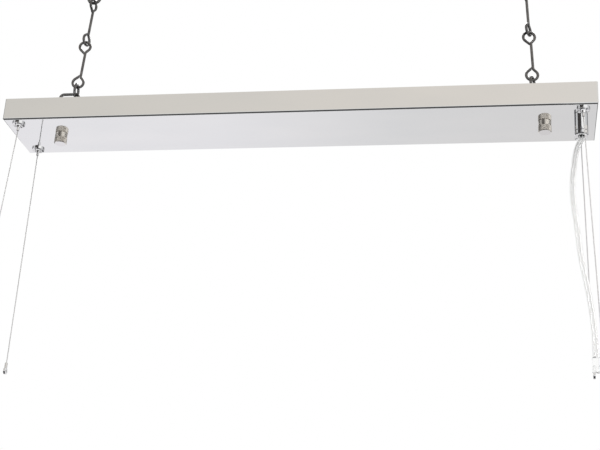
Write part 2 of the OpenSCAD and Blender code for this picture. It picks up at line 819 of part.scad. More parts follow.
module cord_grip_body() {
    spigot_top = inner_z + spigot_h;
    color(steel)
        at_grip()
            difference() {
                union() {
                    rotate_extrude()
                        polygon([
                            [0, -grip_body_h], [grip_d / 2 - grip_edge, -grip_body_h],
                            [grip_d / 2, -grip_body_h + grip_edge], [grip_d / 2, 0], [0, 0]
                        ]);
                    translate([0, 0, -1]) cylinder(d = spigot_d, h = spigot_top + 1);
                }
                translate([0, 0, -grip_body_h - 1])
                    cylinder(d = cord_way_d, h = grip_body_h + spigot_top + 2);
                translate([0, 0, -grip_body_h - 1]) cylinder(r = socket_r, h = socket_h + 1);
            }
}

// Clamp nut with its neck up inside the body
module cord_grip_nut() {
    top = -grip_body_h - 2 * rub;
    color(steel)
        at_grip()
            difference() {
                union() {
                    rotate_extrude()
                        polygon([
                            [0, -grip_bottom], [grip_d / 2 - nut_edge, -grip_bottom],
                            [grip_d / 2, -grip_bottom + nut_edge], [grip_d / 2, top - grip_edge],
                            [grip_d / 2 - grip_edge, top], [0, top]
                        ]);
                    translate([0, 0, top - 1]) cylinder(r = socket_r - slack, h = neck_l + 1 + 2 * rub);
                }
                translate([0, 0, -grip_bottom - 1]) cylinder(d = cord_way_d, h = grip_bottom + 2);
            }
}

module cord_grip_bush() {
    color("darkslategray")
        at_grip()
            translate([0, 0, -grip_body_h + neck_l + rub])
                difference() {
                    cylinder(r = socket_r - slack, h = socket_h - neck_l - 2 * rub);
                    translate([0, 0, -1]) cylinder(d = cord_way_d, h = socket_h);
                }
}

module cord_grip_lock_nut() {
    color(zinc) at_grip() translate([0, 0, inner_z]) hex_nut(lock_nut_af, lock_nut_h, spigot_d + 2 * slack);
}

// Terminal block

module at_block() {
    at_pan() translate([block_x, block_y, inner_z]) children();
}

module terminal_block() {
    color("ivory")
        at_block()
            difference() {
                union() {
                    translate([-way_l / 2, -block_w / 2, 0]) cube([way_l, block_w, way_z + base_over]);
                    for (i = [-1, 0, 1], s = [-1, 1])
                        translate([s * way_l / 4, i * way_pitch, 0])
                            cylinder(d = well_d + 2 * well_wall, h = block_h);
                }
                for (i = [-1, 0, 1]) {
                    translate([-way_l, i * way_pitch, way_z])
                        rotate([0, 90, 0]) cylinder(d = way_d, h = 2 * way_l);
                    for (s = [-1, 1])
                        translate([s * way_l / 4, i * way_pitch, way_z]) cylinder(d = well_d, h = block_h);
                }
                for (s = [-1, 1])
                    translate([0, s * way_pitch / 2, -1]) cylinder(d = fixing_hole_d, h = block_h);
            }
}

module terminal_inserts() {
    d = way_d - 2 * slack;
    color(brass)
        at_block()
            for (i = [-1, 0, 1])
                translate([-way_l / 2 + insert_back, i * way_pitch, way_z])
                    rotate([0, 90, 0])
                        difference() {
                            cylinder(d = d, h = way_l - 2 * insert_back);
                            translate([0, 0, -1]) cylinder(d = core_way_d, h = way_l);
                        }
}

module terminal_screws() {
    color(zinc)
        at_block()
            for (i = [-1, 0, 1], s = [-1, 1])
                translate([s * way_l / 4, i * way_pitch, way_z + way_d / 2])
                    difference() {
                        cylinder(d = clamp_screw_d, h = clamp_screw_l);
                        translate([-clamp_screw_d, -clamp_slot[0] / 2, clamp_screw_l - clamp_slot[1]])
                            cube([2 * clamp_screw_d, clamp_slot[0], 2 * clamp_slot[1]]);
                    }
}

module lead_core(route) {
    color("whitesmoke") at_grip() sweep(route, core_d, core_d);
}

// Cables and cord

// Point of a cable's route on its gripper's axis
function cable_point(c, reach, p) = [c[0] * reach[0] * p[0], c[1] * reach[1] * p[0], p[1]];

module cable(c, reach) {
    color("gray") at_gripper(c) sweep([for (p = cable_route) cable_point(c, reach, p)], cable_d, cable_d);
}

// Ferrule and flat eye on a cable's lower end
module cable_end(c, reach) {
    neck = 1;
    eye_z = -ferrule_l - end_eye_d / 2 + neck;
    color(nickel)
        at_gripper(c)
            translate(cable_point(c, reach, cable_end))
                difference() {
                    union() {
                        translate([0, 0, -ferrule_l]) cylinder(d = ferrule_d, h = ferrule_l);
                        translate([-end_eye_t / 2, 0, eye_z])
                            rotate([0, 90, 0]) cylinder(d = end_eye_d, h = end_eye_t);
                    }
                    translate([-ferrule_d, 0, eye_z])
                        rotate([0, 90, 0]) cylinder(d = end_hole_d, h = 2 * ferrule_d);
                }
}

module clear_cord() {
    color("whitesmoke") at_grip() sweep(cord_route, cord_w, cord_t);
}

// Inline connector: a rounded case with two contact holes in its lower face
module cord_connector() {
    r = connector_t / 2;
    contact_d = 2;
    color("whitesmoke")
        at_grip()
            translate([cord_end[0], cord_end[1], cord_end[2] - connector_l])
                difference() {
                    union() {
                        for (s = [-1, 1])
                            translate([s * (connector_w / 2 - r), 0, 0]) cylinder(r = r, h = connector_l);
                        translate([r - connector_w / 2, -r, 0])
                            cube([connector_w - 2 * r, 2 * r, connector_l]);
                    }
                    for (s = [-1, 1])
                        translate([s * connector_w / 4, 0, -1]) cylinder(d = contact_d, h = connector_l / 2);
                }
}

ceiling_plate(LEFT);  // ceiling_plate_left
ceiling_plate(RIGHT);  // ceiling_plate_right
ceiling_hook(LEFT, hook_left_z);  // ceiling_hook_left
ceiling_hook(RIGHT, hook_right_z);  // ceiling_hook_right
hook_lock_nuts();
left_piece(upper_s, upper_left_turn) link();  // upper_link_left
right_piece(upper_s, upper_right_turn) link();  // upper_link_right
left_piece(lower_s, lower_turn) link();  // lower_link_left
right_piece(lower_s, lower_turn) link();  // lower_link_right
left_piece(0, ring_left_turn) ring();  // ring_left
right_piece(0, ring_right_turn) ring();  // ring_right
hanger(bow_left_x, bow_top_left);  // hanger_left
hanger(bow_right_x, bow_top_right);  // hanger_right
hanger_nuts();
mounting_bar();
pan_screws();
pan_nuts();
canopy_pan();
cap_nut(LEFT);  // cap_nut_left
cap_nut(RIGHT);  // cap_nut_right
earth_screw();
earth_washer();
gripper_barrels();
gripper_flanges();
gripper_plunger([LEFT, FRONT]);  // gripper_plunger_front_left
gripper_plunger([RIGHT, FRONT]);  // gripper_plunger_front_right
gripper_plunger([LEFT, REAR]);  // gripper_plunger_rear_left
gripper_plunger([RIGHT, REAR]);  // gripper_plunger_rear_right
gripper_spring([LEFT, FRONT]);  // gripper_spring_front_left
gripper_spring([RIGHT, FRONT]);  // gripper_spring_front_right
gripper_spring([LEFT, REAR]);  // gripper_spring_rear_left
gripper_spring([RIGHT, REAR]);  // gripper_spring_rear_right
cord_grip_body();
cord_grip_nut();
cord_grip_bush();
cord_grip_lock_nut();
terminal_block();
terminal_inserts();
terminal_screws();
lead_core(core_route_1);  // lead_core_1
lead_core(core_route_2);  // lead_core_2
cable([LEFT, FRONT], reach_front_left);  // cable_front_left
cable([RIGHT, FRONT], reach_front_right);  // cable_front_right
cable([LEFT, REAR], reach_rear_left);  // cable_rear_left
cable([RIGHT, REAR], reach_rear_right);  // cable_rear_right
cable_end([LEFT, FRONT], reach_front_left);  // cable_end_front_left
cable_end([RIGHT, FRONT], reach_front_right);  // cable_end_front_right
cable_end([LEFT, REAR], reach_rear_left);  // cable_end_rear_left
cable_end([RIGHT, REAR], reach_rear_right);  // cable_end_rear_right
clear_cord();
cord_connector();
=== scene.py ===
"""Looks of the chandelier canopy and its suspension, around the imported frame. Metres, +Z up."""

import json
import math

import bpy
from mathutils import Matrix, Vector


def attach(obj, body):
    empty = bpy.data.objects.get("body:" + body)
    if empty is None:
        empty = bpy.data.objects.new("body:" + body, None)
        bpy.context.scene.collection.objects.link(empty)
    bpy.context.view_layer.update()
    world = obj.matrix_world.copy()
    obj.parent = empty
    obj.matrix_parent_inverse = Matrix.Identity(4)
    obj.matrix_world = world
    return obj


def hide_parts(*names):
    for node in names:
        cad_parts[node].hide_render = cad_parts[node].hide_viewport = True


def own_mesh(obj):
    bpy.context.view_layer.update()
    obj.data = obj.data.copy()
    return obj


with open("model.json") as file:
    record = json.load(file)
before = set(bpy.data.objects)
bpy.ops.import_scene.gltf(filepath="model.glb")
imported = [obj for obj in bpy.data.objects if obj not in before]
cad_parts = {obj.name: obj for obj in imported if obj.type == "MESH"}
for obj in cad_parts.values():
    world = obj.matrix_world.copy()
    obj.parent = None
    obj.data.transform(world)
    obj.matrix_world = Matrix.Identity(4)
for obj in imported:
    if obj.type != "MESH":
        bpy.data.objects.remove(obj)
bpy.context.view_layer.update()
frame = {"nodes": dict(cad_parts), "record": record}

MM = 0.001
X_AXIS = Vector((1, 0, 0))

# Where the pan's own frame lies: its zero is the centre of the pan's lower face.
PAN_ORIGIN = Vector((0.6, 0, -208)) * MM
SIDES = {"left": -1, "right": 1}
DEPTHS = {"front": -1, "rear": 1}
CORNERS = [(depth, side) for depth in DEPTHS for side in SIDES]


def pan_point(p):
    """A point of the pan's frame in millimetres, as a point of the row frame in metres."""
    return PAN_ORIGIN + Vector(p) * MM


# Camera

CAMERA_AT = Vector((0.2264, -1.1539, -0.8052))
CAMERA_YAW = 10.555
CAMERA_PITCH = 22.742
CAMERA_ROLL = 3.441
SENSOR = 36
LENS = 77.38
FARTHEST_SEEN = 100


def make_camera():
    """The photograph's view: from below, a little to the right, and slightly rolled."""
    data = bpy.data.cameras.new("view")
    data.sensor_width = SENSOR
    data.lens = LENS
    data.clip_end = FARTHEST_SEEN
    camera = bpy.data.objects.new("view", data)
    turn = Matrix.Rotation(math.radians(CAMERA_YAW), 4, "Z")
    tilt = Matrix.Rotation(math.radians(90 + CAMERA_PITCH), 4, "X")
    roll = Matrix.Rotation(math.radians(CAMERA_ROLL), 4, "Z")
    camera.matrix_world = Matrix.Translation(CAMERA_AT) @ turn @ tilt @ roll
    bpy.context.scene.collection.objects.link(camera)
    bpy.context.scene.camera = camera


make_camera()


# Shader nodes

def node_material(name):
    """A new material with its nodes, its links and its Principled shader."""
    material = bpy.data.materials.new(name)
    material.use_nodes = True
    nodes = material.node_tree.nodes
    return material, nodes, material.node_tree.links, nodes["Principled BSDF"]


def position(nodes, links, scale=(1, 1, 1)):
    """Object coordinates, stretched by a scale along each axis."""
    coordinates = nodes.new("ShaderNodeTexCoord")
    mapping = nodes.new("ShaderNodeMapping")
    mapping.inputs["Scale"].default_value = scale
    links.new(coordinates.outputs["Object"], mapping.inputs["Vector"])
    return mapping.outputs["Vector"]


def noise(nodes, links, vector, scale, detail, roughness=0.5):
    """A grey noise from 0 to 1 over the given coordinates."""
    texture = nodes.new("ShaderNodeTexNoise")
    texture.inputs["Scale"].default_value = scale
    texture.inputs["Detail"].default_value = detail
    texture.inputs["Roughness"].default_value = roughness
    links.new(vector, texture.inputs["Vector"])
    return texture.outputs["Fac"]


def ramp(nodes, links, value, levels, colours):
    """A colour or a grey for each level of the value, and a mix of two in between."""
    node = nodes.new("ShaderNodeValToRGB")
    elements = node.color_ramp.elements
    while len(elements) < len(levels):
        elements.new(0.5)
    for element, level, colour in zip(elements, levels, colours):
        element.position = level
        element.color = (*colour, 1) if hasattr(colour, "__len__") else (colour, colour, colour, 1)
    links.new(value, node.inputs["Fac"])
    return node.outputs["Color"]


def bump(nodes, links, shader, height, strength, distance, before=None):
    """A bump on the shader, on top of an earlier one where there is one."""
    node = nodes.new("ShaderNodeBump")
    node.inputs["Strength"].default_value = strength
    node.inputs["Distance"].default_value = distance
    links.new(height, node.inputs["Height"])
    if before is not None:
        links.new(before, node.inputs["Normal"])
    links.new(node.outputs["Normal"], shader.inputs["Normal"])
    return node.outputs["Normal"]


# Materials

# Levels of the noise at which a material's two tints lie, and its shiniest and dullest spots
TINT_LEVELS = (0.3, 0.7)
GLOSS_LEVELS = (0.3, 0.75)

# The polished sheet: tints, roughness, and how much finer its marks are along each axis
STEEL_TINTS = ((0.765, 0.775, 0.78), (0.795, 0.8, 0.8))
STEEL_GLOSS = (0.022, 0.06)
STEEL_WAVES = (1, 3, 3)
STEEL_LINES = (4, 900, 900)

# The chains' dark wire, under a thin coat
WIRE_TINTS = ((0.09, 0.088, 0.089), (0.17, 0.167, 0.165))
WIRE_GLOSS = (0.16, 0.28)
WIRE_COAT = 0.35
WIRE_COAT_ROUGHNESS = 0.12

# The clear plastic
PVC_TINTS = ((0.975, 0.982, 0.98), (0.99, 0.992, 0.99))
PVC_GLOSS = (0.05, 0.12)
PVC_IOR = 1.5

# A plated metal's fine grain and a plastic's, as multiples of the scale of its blotches
PLATED_GRAIN = 12
MOULDED_GRAIN = 10

# Each metal's two tints, least and most roughness, scale of blotches and strength of grain
PLATED = {
    "bright_chrome": ((0.72, 0.72, 0.73), (0.78, 0.78, 0.79), 0.04, 0.09, 60, 0.03),
    "zinc": ((0.52, 0.53, 0.54), (0.68, 0.69, 0.7), 0.28, 0.42, 70, 0.15),
    "brass": ((0.66, 0.48, 0.2), (0.78, 0.6, 0.3), 0.18, 0.32, 90, 0.1),
    "steel_cable": ((0.74, 0.74, 0.75), (0.85, 0.85, 0.86), 0.3, 0.45, 400, 0.1),
    "tinned_copper": ((0.95, 0.945, 0.94), (0.98, 0.975, 0.97), 0.15, 0.3, 300, 0.05),
}
NICKEL = ((0.74, 0.695, 0.635), (0.83, 0.785, 0.73), 0.28, 0.4, 90, 0.08)

# The same for plastic and rubber
MOULDED = {
    "rubber": ((0.03, 0.03, 0.03), (0.055, 0.055, 0.055), 0.55, 0.75, 200, 0.2),
    "white_plastic": ((0.8, 0.8, 0.76), (0.86, 0.86, 0.83), 0.35, 0.5, 120, 0.1),
}

# The cap nut's flat end: its colour, its roughness, and how squarely downward a face has to look
END_TINT = (0.74, 0.735, 0.74)
END_ROUGHNESS = 0.045
END_FACING = (-0.9, -0.99)


def polished_steel():
    """Mirror-polished sheet: a very slow waviness, and polishing lines too fine to blur much."""
    material, nodes, links, shader = node_material("polished_steel")
    shader.inputs["Metallic"].default_value = 1
    wide = position(nodes, links, STEEL_WAVES)
    stain = noise(nodes, links, wide, scale=9, detail=2)
    links.new(ramp(nodes, links, stain, TINT_LEVELS, STEEL_TINTS), shader.inputs["Base Color"])
    lines = noise(nodes, links, position(nodes, links, STEEL_LINES), scale=1, detail=2)
    links.new(ramp(nodes, links, lines, (0.35, 0.75), STEEL_GLOSS), shader.inputs["Roughness"])
    wave = noise(nodes, links, wide, scale=14, detail=1)
    slow = bump(nodes, links, shader, wave, strength=0.03, distance=0.002)
    bump(nodes, links, shader, lines, strength=0.01, distance=0.0002, before=slow)
    return material


def gunmetal_wire():
    """Dark plated wire with drawing marks, and wear where it has been handled."""
    material, nodes, links, shader = node_material("gunmetal_wire")
    shader.inputs["Metallic"].default_value = 1
    place = position(nodes, links)
    blotch = noise(nodes, links, place, scale=160, detail=4, roughness=0.6)
    links.new(ramp(nodes, links, blotch, (0.35, 0.7), WIRE_TINTS), shader.inputs["Base Color"])
    fine = noise(nodes, links, place, scale=1400, detail=3)
    links.new(ramp(nodes, links, fine, (0.3, 0.8), WIRE_GLOSS), shader.inputs["Roughness"])
    bump(nodes, links, shader, fine, strength=0.12, distance=0.0002)
    shader.inputs["Coat Weight"].default_value = WIRE_COAT
    shader.inputs["Coat Roughness"].default_value = WIRE_COAT_ROUGHNESS
    return material


def grained(name, tints, gloss, scale, grain_scale, grain_detail, strength, distance):
    """Two close tints in soft blotches, and a fine grain that sets the roughness and the bump."""
    material, nodes, links, shader = node_material(name)
    place = position(nodes, links)
    blotch = noise(nodes, links, place, scale, detail=3)
    links.new(ramp(nodes, links, blotch, TINT_LEVELS, tints), shader.inputs["Base Color"])
    grain = noise(nodes, links, place, grain_scale, grain_detail)
    links.new(ramp(nodes, links, grain, GLOSS_LEVELS, gloss), shader.inputs["Roughness"])
    bump(nodes, links, shader, grain, strength, distance)
    return material


def plated(name, low, high, shine, dull, scale, strength):
    """A plated or turned metal."""
    material = grained(
        name, (low, high), (shine, dull), scale, scale * PLATED_GRAIN, 3, strength, distance=0.0001,
    )
    material.node_tree.nodes["Principled BSDF"].inputs["Metallic"].default_value = 1
    return material


def moulded(name, low, high, shine, dull, scale, strength):
    """A plastic or rubber with a moulded grain."""
    return grained(
        name, (low, high), (shine, dull), scale, scale * MOULDED_GRAIN, 2, strength, distance=0.0002,
    )


def cap_nickel():
    """Warm nickel, satin on the side and polished to a neutral mirror on the flat end."""
    material = plated("nickel", *NICKEL)
    nodes, links = material.node_tree.nodes, material.node_tree.links
    shader = nodes["Principled BSDF"]
    coordinates = nodes.new("ShaderNodeTexCoord")
    split = nodes.new("ShaderNodeSeparateXYZ")
    links.new(coordinates.outputs["Normal"], split.inputs[0])
    flat = nodes.new("ShaderNodeMapRange")
    flat.inputs["From Min"].default_value = END_FACING[0]
    flat.inputs["From Max"].default_value = END_FACING[1]
    links.new(split.outputs["Z"], flat.inputs["Value"])
    for name, value in (("Base Color", END_TINT), ("Roughness", [END_ROUGHNESS] * 3)):
        mix = nodes.new("ShaderNodeMix")
        mix.data_type = "RGBA"
        first, second = [socket for socket in mix.inputs if socket.type == "RGBA"]
        result = [socket for socket in mix.outputs if socket.type == "RGBA"][0]
        links.new(flat.outputs["Result"], mix.inputs["Factor"])
        links.new(shader.inputs[name].links[0].from_socket, first)
        second.default_value = (*value, 1)
        links.new(result, shader.inputs[name])
    return material


def clear_pvc():
    """Clear soft plastic, faintly wavy."""
    material, nodes, links, shader = node_material("clear_pvc")
    shader.inputs["Transmission Weight"].default_value = 1
    shader.inputs["IOR"].default_value = PVC_IOR
    place = position(nodes, links)
    haze = noise(nodes, links, place, scale=60, detail=3)
    links.new(ramp(nodes, links, haze, TINT_LEVELS, PVC_TINTS), shader.inputs["Base Color"])
    links.new(ramp(nodes, links, haze, GLOSS_LEVELS, PVC_GLOSS), shader.inputs["Roughness"])
    wave = noise(nodes, links, place, scale=220, detail=2)
    bump(nodes, links, shader, wave, strength=0.08, distance=0.0002)
    return material


MATERIALS = {
    "polished_steel": polished_steel(),
    "gunmetal_wire": gunmetal_wire(),
    "nickel": cap_nickel(),
    "clear_pvc": clear_pvc(),
}
for slot, look in PLATED.items():
    MATERIALS[slot] = plated(slot, *look)
for slot, look in MOULDED.items():
    MATERIALS[slot] = moulded(slot, *look)

# The material slot of each CAD node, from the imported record
NODE_SLOTS = {row["node"]: row["material_slot"] for row in frame["record"]["subparts"]}


# Meshes

def new_piece(name, points, faces, body, slot, smooth=True):
    """A mesh piece that rides on a CAD body and has the slot's material."""
    mesh = bpy.data.meshes.new(name)
    mesh.from_pydata([tuple(p) for p in points], [], faces)
    mesh.polygons.foreach_set("use_smooth", [smooth] * len(mesh.polygons))
    mesh.update()
    piece = bpy.data.objects.new(name, mesh)
    bpy.context.scene.collection.objects.link(piece)
    mesh.materials.append(MATERIALS[slot])
    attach(piece, body)
    return piece


def smooth_route(points, per_span):
    """A Catmull-Rom curve through the points, with so many steps in each span."""
    ends = [points[0] * 2 - points[1]] + list(points) + [points[-1] * 2 - points[-2]]
    route = []
    for i in range(1, len(ends) - 2):
        a, b, c, d = ends[i - 1:i + 3]
        for k in range(per_span):
            t = k / per_span
            route.append(0.5 * (2 * b + (c - a) * t + (2 * a - 5 * b + 4 * c - d) * t ** 2
                                + (3 * b - a - 3 * c + d) * t ** 3))
    route.append(points[-1])
    return route


def route_length(points):
    """The length of the straight spans between the points."""
    return sum((b - a).length for a, b in zip(points, points[1:]))


def even_route(points, step):
    """The same route with points at an even distance."""
    total = route_length(points)
    count = max(2, round(total / step))
    route, walked, i = [points[0]], 0.0, 0
    for k in range(1, count):
        target = total * k / count
        while walked + (points[i + 1] - points[i]).length < target:
            walked += (points[i + 1] - points[i]).length
            i += 1
        span = (points[i + 1] - points[i]).length
        route.append(points[i].lerp(points[i + 1], (target - walked) / span))
    route.append(points[-1])
    return route


def route_frames(points, across):
    """At each point, two directions across the route: one near the given one, and one square to it."""
    frames = []
    for i in range(len(points)):
        heading = (points[min(i + 1, len(points) - 1)] - points[max(i - 1, 0)]).normalized()
        u = (across - heading * across.dot(heading)).normalized()
        frames.append((u, heading.cross(u)))
    return frames


def tube(points, frames, outline, middle=None):
    """Points and faces of a closed tube. The outline is a ring of (u, v), and middle(i) shifts ring i."""
    n = len(outline)
    verts, faces = [], []
    for i, (point, (u, v)) in enumerate(zip(points, frames)):
        du, dv = middle(i) if middle else (0, 0)
        verts += [point + u * (a + du) + v * (b + dv) for a, b in outline]
    for i in range(len(points) - 1):
        for k in range(n):
            a, b = i * n + k, i * n + (k + 1) % n
            faces.append((a, b, b + n, a + n))
    faces.append(tuple(reversed(range(n))))
    faces.append(tuple(range((len(points) - 1) * n, len(points) * n)))
    return verts, faces


def circle_outline(radius, sides):
    """A ring of points round zero."""
    turns = [2 * math.pi * k / sides for k in range(sides)]
    return [(radius * math.cos(a), radius * math.sin(a)) for a in turns]


def joined(parts):
    """Several (points, faces) as one."""
    verts, faces = [], []
    for part_verts, part_faces in parts:
        start = len(verts)
        verts += part_verts
        faces += [tuple(start + k for k in face) for face in part_faces]
    return verts, faces


# A strand is six wires round one, so its diameter is six of a wire's radii
OUTER_WIRES = 6
WIRE_RADII = 6
WIRE_SIDES = 6

# The ring's radius and the outer wires' own radius, as shares of those of wires that touch
RING_SHARE = 0.99
OUTER_SHARE = 0.98


def strand(points, frames, diameter, lay, step, core_at=(0, 0)):
    """Six wires laid in a helix round one straight wire, each a closed tube. The diameter is in mm."""
    wire_r = diameter / WIRE_RADII * MM
    parts = [tube(points, frames, circle_outline(wire_r, WIRE_SIDES), lambda i: core_at)]
    ring_r = wire_r / math.sin(math.pi / OUTER_WIRES) * RING_SHARE
    for wire in range(OUTER_WIRES):
        def middle(i, wire=wire):
            """Where this wire lies in the strand at point i."""
            a = 2 * math.pi * (wire / OUTER_WIRES + i * step / lay)
            return core_at[0] + ring_r * math.cos(a), core_at[1] + ring_r * math.sin(a)
        parts.append(tube(points, frames, circle_outline(wire_r * OUTER_SHARE, WIRE_SIDES), middle))
    return joined(parts)


# Steel cables

CABLE_D = 1.1
# Each point's share of the cable's whole reach outwards, and its height
CABLE_ROUTE = [
    (0, 15), (0, 9), (0, 3), (0, -3), (0, -7), (0.005, -9.5), (0.03, -16), (0.09, -30), (0.22, -60),
    (0.35, -90), (0.48, -120), (0.61, -150), (0.74, -180), (0.87, -210), (0.98, -236),
]
CABLE_REACH = {
    "front_left": (6, 13), "front_right": (9, 13), "rear_left": (5.5, 12.5), "rear_right": (6, 12.5),
}
GRIPPER_AT = (286, 29.5)
CABLE_LAY = 9 * MM
CABLE_STEP = 0.75 * MM
SPAN_STEPS = 6


def steel_cable(depth, side):
    """A wire strand of six wires round one, from its gripper to its end fitting."""
    corner = f"{depth}_{side}"
    cy, cx = DEPTHS[depth], SIDES[side]
    reach = CABLE_REACH[corner]
    route = [
        pan_point((cx * (GRIPPER_AT[0] + reach[0] * share), cy * (GRIPPER_AT[1] + reach[1] * share), z))
        for share, z in CABLE_ROUTE
    ]
    points = even_route(smooth_route(route, SPAN_STEPS), CABLE_STEP)
    frames = route_frames(points, X_AXIS)
    verts, faces = strand(points, frames, CABLE_D, CABLE_LAY, CABLE_STEP)
    piece = new_piece(f"wire_strand_{corner}", verts, faces, "canopy", "steel_cable")
    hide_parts(f"cable_{corner}")


# Clear cord

CORD_W = 5.6
CORD_T = 2.8
CORD_GROOVE = 0.2
CORD_ROUTE = [
    (285, 0, 9), (285, 0, 2), (285, 0, -6), (285, 0, -14), (284.6, 0, -18), (282.6, 0, -22), (280.6, 0, -27),
    (279, 0, -33), (277.6, 0, -41), (276.2, 0, -52), (275.2, 0, -64), (275, 0, -76), (275.8, 0, -88),
    (277.4, 0, -104), (279, 0, -122), (281, 0, -142), (284.2, 0, -162), (287.4, 0, -182), (289.8, 0, -202),
    (291.2, 0, -222), (292, 0, -240),
]
GRIP_X = 285
CONDUCTOR_D = 1.1
CONDUCTOR_LAY = 11 * MM
CORD_STEP = 1 * MM
LOBE_STEPS = 14


def twin_outline(width, thickness, groove):
    """Section of a flat twin lead: two round lobes with a groove between them."""
    r = thickness / 2
    centre = width / 2 - r
    gap = math.acos(min(1.0, (centre - groove) / r))
    lobe = [
        (centre + r * math.cos(a), r * math.sin(a))
        for a in (-(math.pi - gap) + 2 * (math.pi - gap) * k / LOBE_STEPS for k in range(LOBE_STEPS + 1))
    ]
    return [(a * MM, b * MM) for a, b in lobe + [(-a, -b) for a, b in lobe]]


def clear_cord():
    """The flat twin lead: a clear sheath with two bright stranded conductors inside."""
    route = [pan_point(p) for p in CORD_ROUTE]
    points = even_route(smooth_route(route, SPAN_STEPS), CORD_STEP)
    frames = route_frames(points, X_AXIS)
    verts, faces = tube(points, frames, twin_outline(CORD_W, CORD_T, CORD_GROOVE))
    sheath = new_piece("clear_sheath", verts, faces, "canopy", "clear_pvc")
    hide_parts("clear_cord")
    for i, side in enumerate((1, -1), 1):
        at = (side * (CORD_W - CORD_T) / 2 * MM, 0)
        verts, faces = strand(points, frames, CONDUCTOR_D, CONDUCTOR_LAY, CORD_STEP, at)
        conductor = new_piece(f"conductor_{i}", verts, faces, "canopy", "tinned_copper")


for depth, side in CORNERS:
    steel_cable(depth, side)
clear_cord()


# Lead cores inside the pan

CORE_D = 2.3
CORE_ROUTES = [
    [(286.5, 0, 9), (286.6, 0.4, 12), (285.8, 2.4, 14.8), (283, 6, 16), (278.4, 10, 15.4),
     (272.6, 13.4, 13), (266, 15.8, 10.2), (258.6, 16.8, 8.2), (250.6, 17, 7.5), (238, 17, 7.5)],
    [(283.5, 0, 9), (283.5, 0.4, 13.4), (282.8, 2.8, 17.6), (280.2, 7.6, 20), (276, 13.4, 19.4),
     (271, 18.4, 16.2), (265, 22.4, 12.2), (258, 24.6, 9), (250, 25, 7.5), (238, 25, 7.5)],
]
CORE_SPAN_STEPS = 8
CORE_SIDES = 16
CORE_ACROSS = Vector((0.3, 0.2, 1))
STRIPPED = 9 * MM


def lead_core(number, core_route):
    """One insulated core, stripped where it enters the terminal block."""
    points = even_route(smooth_route([pan_point(p) for p in core_route], CORE_SPAN_STEPS), CORD_STEP)
    frames = route_frames(points, CORE_ACROSS)
    covered = points[:-round(STRIPPED / CORD_STEP)]
    verts, faces = tube(covered, frames[:len(covered)], circle_outline(CORE_D / 2 * MM, CORE_SIDES))
    cover = new_piece(f"core_cover_{number}", verts, faces, "canopy", "clear_pvc")
    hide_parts(f"lead_core_{number}")
    verts, faces = strand(points, frames, CONDUCTOR_D, CONDUCTOR_LAY, CORD_STEP)
    wire = new_piece(f"core_wire_{number}", verts, faces, "canopy", "tinned_copper")


for number, core_route in enumerate(CORE_ROUTES, 1):
    lead_core(number, core_route)


# Screw threads, on the lengths that no nut covers

THREAD_STEPS = 24

# The ridge's foot, crest and half width, as shares of the pitch
RIDGE_FOOT = -0.05
RIDGE_CREST = 0.26
RIDGE_HALF = 0.4

# Diameter and pitch of each size of thread
M4_THREAD = (4, 0.7)
BOW_THREAD = (3.2, 0.6)
GRIP_THREAD = (10, 1)

# The ceiling hooks' threads, with heights from the ceiling
HOOK_X = 233.5
HOOK_THREAD_FEET = {"left": -29.6, "right": -37.3}
LOCK_NUT_FOOT = -19.2
LOCK_NUT_GAP = 0.4

# The threads on the pan, each with the height of its foot and the length that is bare
PAN_SCREW_X = 250
PAN_SCREW_FOOT = 4.7
PAN_SCREW_BARE = 12.3
BOW_X = {"left": -246.8, "right": 245.6}
BOW_HALF = 10.2
BOW_LEG_FOOT = 19.9
BOW_LEG_BARE = 4.2
GRIP_FOOT = 4.4
GRIP_BARE = 4.2
EARTH_SCREW_X = 190
EARTH_SCREW_FOOT = 13.8
EARTH_SCREW_BARE = 3.4


def thread(name, foot, length, size, body, slot):
    """A helical ridge round an upright rod, which rises from its foot and fades at both ends."""
    diameter, pitch = size
    count = round(length / pitch * THREAD_STEPS)
    verts, faces = [], []
    for i in range(count + 1):
        turn = 2 * math.pi * i / THREAD_STEPS
        out = Vector((math.cos(turn), math.sin(turn), 0))
        centre = foot + Vector((0, 0, length * i / count)) * MM
        crest = RIDGE_CREST * min(1, i / THREAD_STEPS, (count - i) / THREAD_STEPS)
        for outwards, upwards in ((RIDGE_FOOT, -RIDGE_HALF), (crest, 0), (RIDGE_FOOT, RIDGE_HALF)):
            across = out * (diameter / 2 + outwards * pitch)
            verts.append(centre + (across + Vector((0, 0, upwards * pitch))) * MM)
    for i in range(count):
        for k in range(3):
            a, b = 3 * i + k, 3 * i + (k + 1) % 3
            faces.append((a, b, b + 3, a + 3))
    faces += [(2, 1, 0), (3 * count, 3 * count + 1, 3 * count + 2)]
    new_piece(name, verts, faces, body, slot, smooth=False)


def side_threads(side):
    """The threads at one end: of the ceiling hook, the pan's screw and the bow's two legs."""
    way = SIDES[side]
    foot_z = HOOK_THREAD_FEET[side]
    hook_foot = Vector((way * HOOK_X, 0, foot_z)) * MM
    hook_bare = LOCK_NUT_FOOT - LOCK_NUT_GAP - foot_z
    thread(f"hook_thread_{side}", hook_foot, hook_bare, M4_THREAD, "ceiling", "gunmetal_wire")
    screw_foot = pan_point((way * PAN_SCREW_X, 0, PAN_SCREW_FOOT))
    thread(f"pan_screw_thread_{side}", screw_foot, PAN_SCREW_BARE, M4_THREAD, "canopy", "zinc")
    for leg, outwards in (("outer", way), ("inner", -way)):
        leg_foot = pan_point((BOW_X[side] + outwards * BOW_HALF, 0, BOW_LEG_FOOT))
        thread(f"bow_thread_{side}_{leg}", leg_foot, BOW_LEG_BARE, BOW_THREAD, "canopy", "gunmetal_wire")


